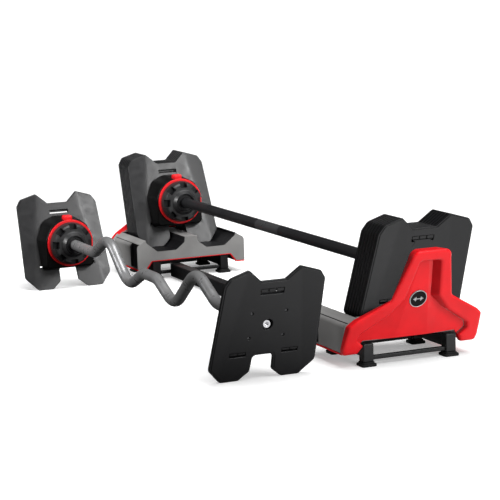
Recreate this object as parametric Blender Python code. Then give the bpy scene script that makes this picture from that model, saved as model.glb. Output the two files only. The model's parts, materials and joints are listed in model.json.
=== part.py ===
"""Adjustable barbell set: a straight barbell standing in two cradles with its loose
weight plates, and a curl bar lying beside it on its own two fixed plates.

Metres, +Z up. X runs along both bars, and the origin is on the floor under the
middle of the whole set. Each end is modelled once, as the right-hand (+X) end, in
its own frame: x is 0 at the fixed plate's inner face at the bar's axis and grows
outwards, y is sideways, z is 0 at the bar's axis. The left-hand end is the same
end turned half a turn about the vertical.
"""

import math

import bmesh
import bpy
from mathutils import Matrix, Vector

# ---------------------------------------------------------------- driving sizes
GAP = 0.0003                # between neighbours that touch in the real object
HALF_SPAN = 0.702           # middle of a bar to a fixed plate's inner face
STRAIGHT_Y = 0.15815        # where the straight bar lies
CURL_Y = -0.20385           # where the curl bar lies
CURL_X = 0.069              # the curl bar's middle
STRAIGHT_Z = 0.2110         # the straight bar's axis above the floor

BAR_R = 0.0140
BAR_END_X = -0.0070         # the bar stops just short of the fixed plate
BAR_BORE_R = 0.0108
BAR_BORE_DEPTH = 0.098
SLOT_HALF_WIDTH = 0.0026    # slots in the bar's ends for the selector pin
GROOVE_R = 0.0136           # ring grooves in the bar, either side of the hands
GROOVE_X = 0.310

PLATE_H = 0.260             # nominal height of a weight plate
PLATE_PITCH = 0.0123
PLATE_T = 0.0117
PLATE_LEAN = 0.40           # the plates lean outwards: x gained per z
WING_BEND = 0.19            # and their wings bend outwards: x gained per |y|
CREASE_TOP_Y = 0.230 * PLATE_H     # crease line at z = +0.5 PLATE_H
CREASE_SLOPE = -0.165              # |y| gained per z along the crease
HUB_HOLE_R = 0.0124
SCREW_HOLE_R = 0.0034
LOOSE_PLATES = 6
PLATE_BOTTOM_Z = -0.497 * PLATE_H
CURL_Z = -PLATE_BOTTOM_Z    # the curl bar stands on its plates' lobes

HOUSING_FRONT_X = -0.0580
HOUSING_HALF_W = 0.0770
HOUSING_TOP_Z = 0.0690
HOUSING_BOTTOM_Z = -0.0740
HOUSING_BORE_R = 0.0242
HOUSING_WEB_X = -0.0178     # where the wide bore ends and grips the bar

RING_R = 0.0660
RING_X = (-0.0650, -0.0590)
DIAL_X = (-0.1085, -0.0653)
DIAL_BASE_R = 0.0600
DIAL_FACE_R = 0.0555
DIAL_RIM_X = -0.0915        # the notched rim stands behind the hub
SLEEVE_R = 0.0238
SLEEVE_END_X = -0.0182
PIN_CAVITY_R = 0.0178
DIAL_NOTCHES = 8

SHAFT_R = 0.0105
SHAFT_TIP_X = 0.0060
PIN_X = -0.0944
PIN_R = 0.0020
PIN_REACH = 0.0168

BUTTON_X = (-0.0520, -0.0300)
BUTTON_HALF_W = 0.0130
BUTTON_Z = (0.0600, 0.0765)
POCKET_FLOOR_Z = 0.0400
SPRING_R = 0.0050
SPRING_WIRE_R = 0.0006

# cradle, in the end's frame; heights are above the floor
DECK_Z = 0.0815             # what the plates' lobes stand on
TUB_INNER_X = -0.1380
TUB_HALF_W = 0.1660
TUB_FOOT_Z = 0.0335
TUB_BELLY_Z = 0.0560
TUB_FOOT_Y = 0.1400         # the belly is cut away inside this half-width
WALL_T = 0.0080
COVER_FRONT_AT_156 = 0.1118   # x of the cover's front face 0.156 above the floor
COVER_FRONT_LEAN = 0.50
PLATEAU_H = 0.0090          # the recess's middle stands this far proud of its floor
PLATEAU_SLOPE = 0.17        # and widens towards the floor: |y| gained per z
BADGE_Z = 0.1500
BADGE_R = 0.0213
LEG_Y = 0.1050
LEG_W = 0.0250
LEG_OUTER_X = 0.0380
LEG_INNER_X = -0.1180
PAD_W = 0.0370
PAD_H = 0.0100

CURL_CORNERS = [(0.048, 0.000), (0.162, -0.050), (0.310, 0.058), (0.428, 0.000)]
CURL_BEND_R = 0.080

COLOURS = {
    "black_plastic": ((0.018, 0.018, 0.020, 1), 0.55, 0.0),
    "plate_coat": ((0.030, 0.030, 0.033, 1), 0.60, 0.0),
    "bar_steel": ((0.060, 0.060, 0.065, 1), 0.42, 0.8),
    "bright_steel": ((0.600, 0.600, 0.620, 1), 0.25, 1.0),
    "red_plastic": ((0.800, 0.010, 0.020, 1), 0.40, 0.0),
    "grey_plastic": ((0.160, 0.155, 0.150, 1), 0.50, 0.0),
    "black_steel": ((0.012, 0.012, 0.013, 1), 0.40, 0.3),
    "rubber": ((0.010, 0.010, 0.010, 1), 0.85, 0.0),
}


# ---------------------------------------------------------------- scene helpers
def clear_scene():
    for obj in list(bpy.data.objects):
        bpy.data.objects.remove(obj)


def collection(name):
    made = bpy.data.collections.new(name)
    bpy.context.scene.collection.children.link(made)
    return made


def material(name):
    found = bpy.data.materials.get(name)
    if found:
        return found
    colour, rough, metal = COLOURS[name]
    made = bpy.data.materials.new(name)
    made.use_nodes = True
    shader = made.node_tree.nodes["Principled BSDF"]
    shader.inputs["Base Color"].default_value = colour
    shader.inputs["Roughness"].default_value = rough
    shader.inputs["Metallic"].default_value = metal
    made.diffuse_color = colour
    return made


clear_scene()
SET = collection("adjustable_barbell_set")
CUTTERS = collection("cutters")


def place(name, mesh, parent, look):
    """A named sub-part carrying this mesh, riding on this empty."""
    obj = bpy.data.objects.new(name, mesh)
    SET.objects.link(obj)
    obj.parent = parent
    if not mesh.materials:
        mesh.materials.append(material(look))
    return obj


def empty(name, location, turned=False):
    made = bpy.data.objects.new(name, None)
    SET.objects.link(made)
    made.location = location
    made.rotation_euler = (0, 0, math.pi if turned else 0)
    return made


def smooth(mesh, angle=35):
    mesh.shade_smooth()
    mesh.set_sharp_from_angle(angle=math.radians(angle))
    return mesh


# ---------------------------------------------------------------- mesh helpers
def mesh_from(bm, name):
    bmesh.ops.recalc_face_normals(bm, faces=bm.faces)
    mesh = bpy.data.meshes.new(name)
    bm.to_mesh(mesh)
    bm.free()
    return mesh


def box(low, high):
    bm = bmesh.new()
    size = Vector(high) - Vector(low)
    middle = (Vector(high) + Vector(low)) / 2
    bmesh.ops.create_cube(bm, size=1, matrix=Matrix.Translation(middle) @ Matrix.Diagonal((*size, 1)))
    return mesh_from(bm, "box")


def rod_x(radius, x0, x1, segments=16, y=0.0, z=0.0):
    """A cylinder along X."""
    bm = bmesh.new()
    turn = Matrix.Translation(((x0 + x1) / 2, y, z)) @ Matrix.Rotation(math.pi / 2, 4, "Y")
    bmesh.ops.create_cone(bm, cap_ends=True, segments=segments, radius1=radius, radius2=radius,
                          depth=abs(x1 - x0), matrix=turn)
    return mesh_from(bm, "rod")


def rod_z(radius, z0, z1, x=0.0, y=0.0, segments=12):
    bm = bmesh.new()
    bmesh.ops.create_cone(bm, cap_ends=True, segments=segments, radius1=radius, radius2=radius,
                          depth=z1 - z0, matrix=Matrix.Translation((x, y, (z0 + z1) / 2)))
    return mesh_from(bm, "rod")


def fillet(points, radii, steps=2):
    """A closed outline whose corners are rounded by arcs of these radii."""
    out = []
    count = len(points)
    for i, (corner, radius) in enumerate(zip(points, radii)):
        here = Vector(corner)
        before = (Vector(points[i - 1]) - here).normalized()
        after = (Vector(points[(i + 1) % count]) - here).normalized()
        half = before.angle(after) / 2
        if radius <= 0 or half > math.pi / 2 - 0.02:
            out.append(tuple(here))
            continue
        centre = here + (before + after).normalized() * (radius / math.sin(half))
        start = here + before * (radius / math.tan(half)) - centre
        end = here + after * (radius / math.tan(half)) - centre
        sweep = start.angle_signed(end)
        for step in range(steps + 1):
            turned = start.copy()
            turned.rotate(Matrix.Rotation(-sweep * step / steps, 2))
            out.append(tuple(centre + turned))
    return out


def circle(radius, y=0.0, z=0.0, segments=16):
    return [(y + radius * math.cos(2 * math.pi * i / segments),
             z + radius * math.sin(2 * math.pi * i / segments)) for i in range(segments)]


def rectangle(y0, y1, z0, z1):
    return [(y0, z0), (y1, z0), (y1, z1), (y0, z1)]


def slab(outlines, x0, x1):
    """A flat outline (y, z), with holes, drawn as a filled 2D curve between x0 and x1."""
    curve = bpy.data.curves.new("outline", "CURVE")
    curve.dimensions = "2D"
    curve.fill_mode = "BOTH"
    curve.extrude = (x1 - x0) / 2
    for points in outlines:
        spline = curve.splines.new("POLY")
        spline.points.add(len(points) - 1)
        for point, (y, z) in zip(spline.points, points):
            point.co = (y, z, 0, 1)
        spline.use_cyclic_u = True
    guide = bpy.data.objects.new("outline", curve)
    bpy.context.scene.collection.objects.link(guide)
    solid = bpy.data.meshes.new_from_object(guide.evaluated_get(bpy.context.evaluated_depsgraph_get()))
    bpy.data.objects.remove(guide)
    bm = bmesh.new()
    bm.from_mesh(solid)
    bpy.data.meshes.remove(solid)
    bmesh.ops.remove_doubles(bm, verts=bm.verts, dist=1e-6)
    for vert in bm.verts:
        y, z, depth = vert.co
        vert.co = (depth + (x0 + x1) / 2, y, z)
    return mesh_from(bm, "slab")


def turned(profile, segments):
    """A solid turned about X from a closed (x, radius) profile."""
    bm = bmesh.new()
    rings = []
    for i in range(segments):
        angle = 2 * math.pi * i / segments
        rings.append([bm.verts.new((x, r * math.cos(angle), r * math.sin(angle))) for x, r in profile])
    for i in range(segments):
        ring, following = rings[i], rings[(i + 1) % segments]
        for j in range(len(profile)):
            k = (j + 1) % len(profile)
            bm.faces.new((ring[j], ring[k], following[k], following[j]))
    return mesh_from(bm, "turned")


def boolean(mesh, cutters, operation="DIFFERENCE"):
    """This mesh with each of these meshes cut from it or joined to it."""
    work = bpy.data.objects.new("work", mesh)
    bpy.context.scene.collection.objects.link(work)
    tools = []
    for cutter in cutters:
        tool = bpy.data.objects.new("cutter", cutter)
        CUTTERS.objects.link(tool)
        tool.hide_render = True
        tool.display_type = "WIRE"
        tools.append(tool)
        modifier = work.modifiers.new("cut", "BOOLEAN")
        modifier.operation = operation
        modifier.solver = "EXACT"
        modifier.object = tool
    result = bpy.data.meshes.new_from_object(work.evaluated_get(bpy.context.evaluated_depsgraph_get()))
    for obj in [work, *tools]:
        bpy.data.objects.remove(obj)
    bm = bmesh.new()
    bm.from_mesh(result)
    bmesh.ops.remove_doubles(bm, verts=bm.verts, dist=2e-6)
    bmesh.ops.dissolve_degenerate(bm, edges=bm.edges, dist=2e-6)
    bmesh.ops.triangulate(bm, faces=bm.faces)
    return mesh_from(bm, "solid")


def join(*meshes):
    return boolean(meshes[0], meshes[1:], "UNION")


def creased(mesh, lines):
    """The mesh cut along planes that hold the X direction, each a (y, z) point and a (y, z) normal."""
    bm = bmesh.new()
    bm.from_mesh(mesh)
    for point, normal in lines:
        bmesh.ops.bisect_plane(bm, geom=bm.verts[:] + bm.edges[:] + bm.faces[:], dist=1e-7,
                               plane_co=(0, *point), plane_no=(0, *normal))
    bmesh.ops.triangulate(bm, faces=bm.faces)
    return mesh_from(bm, "creased")


def moved(mesh, rule):
    """The mesh with each point moved by rule(point)."""
    for vert in mesh.vertices:
        vert.co = rule(vert.co)
    return mesh


# ---------------------------------------------------------------- weight plates
def crease_y(z):
    return CREASE_TOP_Y + CREASE_SLOPE * (z - 0.5 * PLATE_H)


def plate_outline():
    """The X-shaped plate: two horns above, two lobes below, a notch between each pair."""
    half = [(0.111, 0.395, 0.02), (0.230, 0.500, 0.02), (0.404, 0.447, 0.05), (0.451, 0.375, 0.05),
            (0.483, -0.370, 0.06), (0.360, -0.497, 0.03), (0.197, -0.497, 0.03), (0.104, -0.420, 0.03),
            (0.095, -0.275, 0.035)]
    right = [(y * PLATE_H, z * PLATE_H, r * PLATE_H) for y, z, r in half]
    left = [(-y, z, r) for y, z, r in reversed(right)]
    whole = right + left
    return fillet([(y, z) for y, z, r in whole], [r for y, z, r in whole], steps=1)


def plate_holes(screws):
    top = [(0.105, 0.270), (0.105, 0.322), (-0.105, 0.322), (-0.105, 0.270)]
    holes = [circle(HUB_HOLE_R, segments=14), [(y * PLATE_H, z * PLATE_H) for y, z in top]]
    for side in (-1, 1):
        y, z = side * 0.237 * PLATE_H, -0.255 * PLATE_H
        holes.append(rectangle(y - 0.019, y + 0.019, z - 0.005, z + 0.005))
    if screws:
        holes += [circle(SCREW_HOLE_R, y, z, 8) for y in (-0.0403, 0.0403) for z in (-0.0286, 0.0286)]
    return holes


def plate_mesh(screws=False):
    flat = slab([plate_outline(), *plate_holes(screws)], 0.0, PLATE_T)
    lines = [((side * crease_y(0), 0), (side, -CREASE_SLOPE)) for side in (-1, 1)]

    def bend(point):
        x, y, z = point
        return Vector((x + PLATE_LEAN * z + WING_BEND * max(0.0, abs(y) - crease_y(z)), y, z))

    return moved(creased(flat, lines), bend)


# ---------------------------------------------------------------- bar-end pieces
def housing_mesh():
    top, bottom, wide = HOUSING_TOP_Z, HOUSING_BOTTOM_Z, HOUSING_HALF_W
    corners = [(-wide, bottom), (wide, bottom), (wide, 0.012), (0.056, 0.055), (0.022, top),
               (-0.022, top), (-0.056, 0.055), (-wide, 0.012)]
    outline = fillet(corners, [0.010, 0.010, 0.030, 0.030, 0.030, 0.030, 0.030, 0.030], steps=2)
    body = slab([outline], HOUSING_FRONT_X, 0.0)

    def wedge(point):
        x, y, z = point
        if x > HOUSING_FRONT_X / 2:
            return Vector((PLATE_LEAN * z - GAP, y, z))
        return Vector((x, y * 0.90, z * 0.94))

    moved(body, wedge)
    cuts = [
        rod_x(HOUSING_BORE_R, HOUSING_FRONT_X - 0.01, HOUSING_WEB_X, 24),
        rod_x(BAR_R + GAP, HOUSING_WEB_X - 0.01, 0.05, 24),
        box((BUTTON_X[0] - GAP, -BUTTON_HALF_W - GAP, 0.0540),
            (BUTTON_X[1] + GAP, BUTTON_HALF_W + GAP, 0.10)),
        rod_z(SPRING_R + 0.0012, POCKET_FLOOR_Z, 0.060, x=sum(BUTTON_X) / 2, segments=10),
    ]
    return smooth(boolean(body, cuts))


def button_mesh():
    cap = box((BUTTON_X[0], -BUTTON_HALF_W, BUTTON_Z[0]), (BUTTON_X[1], BUTTON_HALF_W, BUTTON_Z[1]))
    bm = bmesh.new()
    bm.from_mesh(cap)
    upper = [e for e in bm.edges if all(v.co.z > BUTTON_Z[1] - 1e-6 for v in e.verts)]
    bmesh.ops.bevel(bm, geom=upper, offset=0.003, segments=2, affect="EDGES", profile=0.5)
    return smooth(mesh_from(bm, "button"))


def spring_mesh():
    """Four turns of wire between the pocket's floor and the button."""
    turns, per_turn = 4, 9
    low, high = POCKET_FLOOR_Z + SPRING_WIRE_R + GAP, BUTTON_Z[0] - SPRING_WIRE_R - GAP
    curve = bpy.data.curves.new("coil", "CURVE")
    curve.dimensions = "3D"
    curve.bevel_depth = SPRING_WIRE_R
    curve.bevel_resolution = 0
    curve.use_fill_caps = True
    spline = curve.splines.new("POLY")
    spline.points.add(turns * per_turn)
    for i, point in enumerate(spline.points):
        angle = 2 * math.pi * i / per_turn
        height = low + (high - low) * i / (turns * per_turn)
        point.co = (sum(BUTTON_X) / 2 + SPRING_R * math.cos(angle), SPRING_R * math.sin(angle), height, 1)
    return curve_mesh(curve)


def curve_mesh(curve):
    guide = bpy.data.objects.new("guide", curve)
    bpy.context.scene.collection.objects.link(guide)
    made = bpy.data.meshes.new_from_object(guide.evaluated_get(bpy.context.evaluated_depsgraph_get()))
    bpy.data.objects.remove(guide)
    bm = bmesh.new()
    bm.from_mesh(made)
    bmesh.ops.remove_doubles(bm, verts=bm.verts, dist=1e-6)
    return mesh_from(bm, "tube")


def dial_mesh():
    front, back = DIAL_X
    cavity_x = PIN_X - PIN_R - 0.0006
    profile = [
        (front + 0.0055, 0.0150), (front + 0.0055, 0.0225), (front, 0.0245), (front, 0.0275),
        (front + 0.013, 0.0350), (DIAL_RIM_X - 0.004, DIAL_FACE_R - 0.0045), (DIAL_RIM_X, DIAL_FACE_R),
        (back, DIAL_BASE_R), (back, SLEEVE_R), (SLEEVE_END_X, SLEEVE_R), (SLEEVE_END_X, PIN_CAVITY_R),
        (cavity_x, PIN_CAVITY_R), (cavity_x, 0.0150),
    ]
    knob = turned(profile, 24)
    notches = []
    for i in range(DIAL_NOTCHES):
        notch = box((front, -0.0080, 0.0470), (DIAL_RIM_X + 0.0110, 0.0080, 0.070))
        spin = Matrix.Rotation(2 * math.pi * i / DIAL_NOTCHES, 4, "X")
        notches.append(moved(notch, lambda point, spin=spin: spin @ point))
    return smooth(boolean(knob, notches))


def ring_mesh():
    x0, x1 = RING_X
    bore = SLEEVE_R + GAP
    return smooth(turned([(x0, bore), (x0, RING_R - 0.0012), (x0 + 0.0012, RING_R), (x1, RING_R), (x1, bore)], 32))


def shaft_mesh():
    shaft = rod_x(SHAFT_R, PIN_X - 0.003, SHAFT_TIP_X, 16)
    pin = rod_z(PIN_R, -PIN_REACH, PIN_REACH, x=PIN_X, segments=8)
    return smooth(join(shaft, pin))


# ---------------------------------------------------------------- the two bars
def bar_end_cutters(reach):
    """Bores and pin slots at both ends of a bar that reaches this far each way."""
    cuts = []
    for side in (-1, 1):
        tip = side * (reach + 0.005)
        root = side * (reach - BAR_BORE_DEPTH)
        cuts.append(rod_x(BAR_BORE_R, min(tip, root), max(tip, root), 16))
        slot_in = side * (HALF_SPAN + PIN_X - PIN_R - 0.0006)
        slot_out = side * (HALF_SPAN - 0.0180)
        cuts.append(box((min(slot_in, slot_out), -SLOT_HALF_WIDTH, -0.02),
                        (max(slot_in, slot_out), SLOT_HALF_WIDTH, 0.02)))
    return cuts


def straight_bar_mesh():
    reach = HALF_SPAN + BAR_END_X
    half = [(-reach, BAR_R), (-GROOVE_X - 0.0015, BAR_R), (-GROOVE_X, GROOVE_R), (-GROOVE_X + 0.0015, BAR_R)]
    profile = half + [(-x, r) for x, r in reversed(half)]
    bm = bmesh.new()
    rings = []
    segments = 20
    for x, r in profile:
        rings.append([bm.verts.new((x, r * math.cos(2 * math.pi * i / segments),
                                    r * math.sin(2 * math.pi * i / segments))) for i in range(segments)])
    for ring, following in zip(rings, rings[1:]):
        for i in range(segments):
            j = (i + 1) % segments
            bm.faces.new((ring[i], ring[j], following[j], following[i]))
    bm.faces.new(rings[0])
    bm.faces.new(rings[-1])
    return smooth(boolean(mesh_from(bm, "bar"), bar_end_cutters(reach)))


def curl_path():
    """The curl bar's centre line (x, z): straight runs joined by arcs."""
    reach = HALF_SPAN + BAR_END_X
    right = [*CURL_CORNERS, (reach, 0.0)]
    corners = [(-x, z) for x, z in reversed(right)] + right
    path = [corners[0]]
    for i in range(1, len(corners) - 1):
        here = Vector(corners[i])
        before = (Vector(corners[i - 1]) - here).normalized()
        after = (Vector(corners[i + 1]) - here).normalized()
        half = before.angle(after) / 2
        centre = here + (before + after).normalized() * (CURL_BEND_R / math.sin(half))
        start = here + before * (CURL_BEND_R / math.tan(half)) - centre
        end = here + after * (CURL_BEND_R / math.tan(half)) - centre
        steps = max(2, round(start.angle(end) / math.radians(14)))
        for step in range(steps + 1):
            turned_by = -start.angle_signed(end) * step / steps
            spoke = start.copy()
            spoke.rotate(Matrix.Rotation(turned_by, 2))
            path.append(tuple(centre + spoke))
    path.append(corners[-1])
    return path


def curl_bar_mesh():
    curve = bpy.data.curves.new("curl", "CURVE")
    curve.dimensions = "3D"
    curve.bevel_depth = BAR_R
    curve.bevel_resolution = 5
    curve.use_fill_caps = True
    path = curl_path()
    spline = curve.splines.new("POLY")
    spline.points.add(len(path) - 1)
    for point, (x, z) in zip(spline.points, path):
        point.co = (x, 0, z, 1)
    return smooth(boolean(curve_mesh(curve), bar_end_cutters(HALF_SPAN + BAR_END_X)))


# ---------------------------------------------------------------- cradle pieces
def plate_face_x(z):
    """Outer face of the outermost loose plate's wings at this height above the floor."""
    outermost = LOOSE_PLATES * PLATE_PITCH + PLATE_T
    return outermost + PLATE_LEAN * (z - STRAIGHT_Z) + 0.0060


def cover_front_x(z):
    return COVER_FRONT_AT_156 + COVER_FRONT_LEAN * (z - 0.156)


def trough_outline(side):
    """One of the troughs that the plates' lobes stand in, as seen along the bar."""
    corners = [(0.0185, 0.2000), (0.0185, 0.1300), (0.0200, 0.1020), (0.0470, DECK_Z), (0.1040, DECK_Z),
               (0.1375, 0.1080), (0.1400, 0.1230), (0.1400, 0.2000)]
    return fillet([(side * y, z) for y, z in corners], [0, 0, 0.010, 0.008, 0.008, 0.010, 0, 0], steps=1)


def tub_mesh():
    """The grey tub: two troughs with a rib between, open towards the middle of the bar."""
    right = [(0.1380, 0.1290), (0.1500, 0.1210), (TUB_HALF_W, 0.1040), (TUB_HALF_W, TUB_FOOT_Z),
             (TUB_FOOT_Y + 0.001, TUB_FOOT_Z), (TUB_FOOT_Y - 0.017, TUB_BELLY_Z)]
    radii = [0.006, 0.006, 0.012, 0.003, 0.003, 0.0]
    left = [(-y, z) for y, z in reversed(right)]
    body = slab([fillet(right + left, radii + radii[::-1], steps=1)], 0.0, 1.0)

    def stretch(point):
        x, y, z = point
        if x < 0.5:
            return Vector((TUB_INNER_X, y, z))
        low = z - 0.012 if z > 0.110 else z
        return Vector((plate_face_x(low) + 0.0010 + WALL_T, y, low))

    moved(body, stretch)
    cuts = [box((TUB_INNER_X + 0.008, -0.112, 0.040), (0.012, 0.112, 0.0745))]
    for side in (-1, 1):
        trough = slab([trough_outline(side)], 0.0, 1.0)
        cuts.append(moved(trough, lambda p: Vector(
            (TUB_INNER_X - 0.010 if p.x < 0.5 else plate_face_x(p.z) + 0.0010, p.y, p.z))))
        y0, y1 = sorted((side * (TUB_HALF_W - 0.0070), side * (TUB_HALF_W + 0.0100)))
        cuts.append(box((TUB_INNER_X + 0.004, y0, TUB_FOOT_Z + 0.0040), (TUB_INNER_X + 0.058, y1, 0.1300)))
    return smooth(boolean(body, cuts), 25)


def cover_outline():
    half = [(0.046, 0.2690), (0.0505, 0.2450), (0.0765, 0.1540), (0.1530, 0.1120), (0.1670, 0.1000),
            (0.1690, 0.0780), (0.1710, 0.0460), (0.1680, 0.0300), (0.1310, 0.0300), (0.1160, 0.0590)]
    radii = [0.020, 0.010, 0.014, 0.008, 0.008, 0.0, 0.008, 0.003, 0.003, 0.004]
    left = [(-y, z) for y, z in reversed(half)]
    return fillet(half + left, radii + radii[::-1], steps=2)


def recess_outline():
    half = [(0.0255, 0.2440), (0.0420, 0.1560), (0.0720, 0.1200), (0.1340, 0.0800), (0.1390, 0.0660)]
    left = [(-y, z) for y, z in reversed(half)]
    return fillet(half + [(0.1200, 0.0480), (-0.1200, 0.0480)] + left,
                  [0.006, 0.012, 0.008, 0.006, 0.0, 0.0, 0.0, 0.0, 0.006, 0.008, 0.012, 0.006], steps=1)


def cover_back_x(z):
    return plate_face_x(z) + 0.0010 + WALL_T + GAP


def recess_floor_x(z):
    return cover_back_x(z) + 0.0035


def plateau_y(z):
    """Half-width of the raised middle of the recess."""
    return 0.0280 + PLATEAU_SLOPE * (0.1350 - z)


def cover_mesh():
    """The red A-shaped end cover, recessed inside its rim, with a strip along the tub's lower edge."""
    body = slab([cover_outline()], 0.0, 1.0)

    def lean(point):
        x, y, z = point
        if x > 0.5:
            return Vector((cover_front_x(z), y, z))
        inset = 0.80 if z > 0.125 else 1.0
        return Vector((cover_back_x(z), y * inset, z))

    moved(body, lean)
    edges_of_plateau = [((side * plateau_y(0.1), 0.1), (side, PLATEAU_SLOPE)) for side in (-1, 1)]
    recess = creased(slab([recess_outline()], 0.0, 1.0), edges_of_plateau)

    def sink(point):
        x, y, z = point
        if x < 0.5:
            raised = PLATEAU_H if abs(y) < plateau_y(z) + 1e-5 else 0.0
            return Vector((recess_floor_x(z) + raised, y * 0.93, z))
        return Vector((cover_front_x(z) + 0.010, y, z))

    moved(recess, sink)
    strip_z = (TUB_FOOT_Z - GAP - 0.0035, TUB_FOOT_Z - GAP)
    strips = []
    for side in (-1, 1):
        y0, y1 = sorted((side * (TUB_FOOT_Y + 0.004), side * (TUB_HALF_W + 0.0005)))
        strips.append(box((TUB_INNER_X, y0, strip_z[0]), (0.036, y1, strip_z[1])))
    band = [(TUB_FOOT_Y + 0.0043, strip_z[0]), (TUB_FOOT_Y + 0.0043, strip_z[1]), (TUB_FOOT_Y + 0.0002, strip_z[1]),
            (TUB_FOOT_Y - 0.0174, TUB_BELLY_Z - GAP), (0.0, TUB_BELLY_Z - GAP), (0.0, TUB_BELLY_Z - 0.0035),
            (TUB_FOOT_Y - 0.0198, TUB_BELLY_Z - 0.0035), (TUB_FOOT_Y - 0.0024, strip_z[0])]
    edges = []
    for side in (-1, 1):
        outline = [(side * y if y else -side * 0.001, z) for y, z in band]
        edges.append(slab([outline], TUB_INNER_X, TUB_INNER_X + 0.006))
    return smooth(join(boolean(body, [recess]), *strips, *edges), 30)


def badge_mesh():
    """A plain round badge lying on the raised middle of the cover's recess."""
    disc = rod_x(BADGE_R, 0.0, 0.0025, 24)
    lift = PLATEAU_H + GAP
    return moved(disc, lambda p: Vector((recess_floor_x(BADGE_Z + p.z) + lift + p.x, p.y, BADGE_Z + p.z)))


def frame_mesh():
    """The black steel sled under the tub: four legs, two side rails and two cross rails."""
    half = LEG_W / 2
    top = TUB_BELLY_Z - 0.0045
    solids = []
    for x in (LEG_INNER_X, LEG_OUTER_X):
        for side in (-1, 1):
            y = side * LEG_Y
            solids.append(box((x - half, y - half, PAD_H + GAP), (x + half, y + half, top)))
    for side in (-1, 1):
        y = side * LEG_Y
        solids.append(box((LEG_INNER_X, y - 0.0085, 0.020), (LEG_OUTER_X, y + 0.0085, 0.046)))
    for x in (LEG_INNER_X, LEG_OUTER_X):
        solids.append(box((x - 0.006, -LEG_Y, 0.013), (x + 0.006, LEG_Y, 0.022)))
    return join(*solids)


def pad_mesh(x, y):
    half = PAD_W / 2
    pad = box((x - half, y - half, 0.0), (x + half, y + half, PAD_H))
    bm = bmesh.new()
    bm.from_mesh(pad)
    upright = [e for e in bm.edges if abs(e.verts[0].co.z - e.verts[1].co.z) > 0.005]
    bmesh.ops.bevel(bm, geom=upright, offset=0.005, segments=2, affect="EDGES", profile=0.5)
    return mesh_from(bm, "pad")


def link_rail_mesh():
    """The low rail on the floor that joins the two cradles."""
    reach = HALF_SPAN + LEG_INNER_X - 0.0060 - GAP
    return box((-reach, -0.0620, 0.0040), (reach, -0.0320, 0.0420))


# ---------------------------------------------------------------- assembly
def make_bar_end(side, prefix, spin_origin, shapes):
    """One end's housing, fixed plate, button, spring, dial, ring and shaft."""
    end = empty(prefix + "_end", spin_origin, turned=side < 0)
    place(prefix + "_housing", shapes["housing"], end, "black_plastic")
    place(prefix + "_fixed_plate", shapes["fixed_plate"], end, "plate_coat")
    place(prefix + "_lock_button", shapes["button"], end, "red_plastic")
    place(prefix + "_button_spring", shapes["spring"], end, "bright_steel")
    place(prefix + "_dial", shapes["dial"], end, "black_plastic")
    place(prefix + "_dial_ring", shapes["ring"], end, "red_plastic")
    place(prefix + "_selector_shaft", shapes["shaft"], end, "bright_steel")
    return end


def make_loose_plates(end, prefix, mesh):
    for number in range(1, LOOSE_PLATES + 1):
        plate = place(f"{prefix}_loose_plate_{number}", mesh, end, "plate_coat")
        plate.location.x = number * PLATE_PITCH


def make_cradle(side, prefix):
    base = empty(prefix + "_cradle", (side * HALF_SPAN, STRAIGHT_Y, 0), turned=side < 0)
    place(prefix + "_tub", tub_mesh(), base, "grey_plastic")
    place(prefix + "_end_cover", cover_mesh(), base, "red_plastic")
    place(prefix + "_badge", badge_mesh(), base, "black_plastic")
    place(prefix + "_frame", frame_mesh(), base, "black_steel")
    spots = [(x, y) for x in (LEG_INNER_X, LEG_OUTER_X) for y in (-LEG_Y, LEG_Y)]
    for number, (x, y) in enumerate(spots, start=1):
        place(f"{prefix}_foot_pad_{number}", pad_mesh(x, y), base, "rubber")


def main():
    shapes = {
        "housing": housing_mesh(),
        "fixed_plate": plate_mesh(screws=True),
        "button": button_mesh(),
        "spring": spring_mesh(),
        "dial": dial_mesh(),
        "ring": ring_mesh(),
        "shaft": shaft_mesh(),
    }
    loose = plate_mesh()
    straight = empty("straight_barbell", (0, STRAIGHT_Y, STRAIGHT_Z))
    place("straight_bar", straight_bar_mesh(), straight, "bar_steel")
    curl = empty("curl_barbell", (CURL_X, CURL_Y, CURL_Z))
    place("curl_bar", curl_bar_mesh(), curl, "bar_steel")
    for side, name in ((-1, "left"), (1, "right")):
        end = make_bar_end(side, name, (side * HALF_SPAN, STRAIGHT_Y, STRAIGHT_Z), shapes)
        make_loose_plates(end, name, loose)
        make_bar_end(side, "curl_" + name, (CURL_X + side * HALF_SPAN, CURL_Y, CURL_Z), shapes)
        make_cradle(side, name)
    rail_base = empty("rail_base", (0, STRAIGHT_Y, 0))
    place("link_rail", link_rail_mesh(), rail_base, "black_steel")


main()
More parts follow.
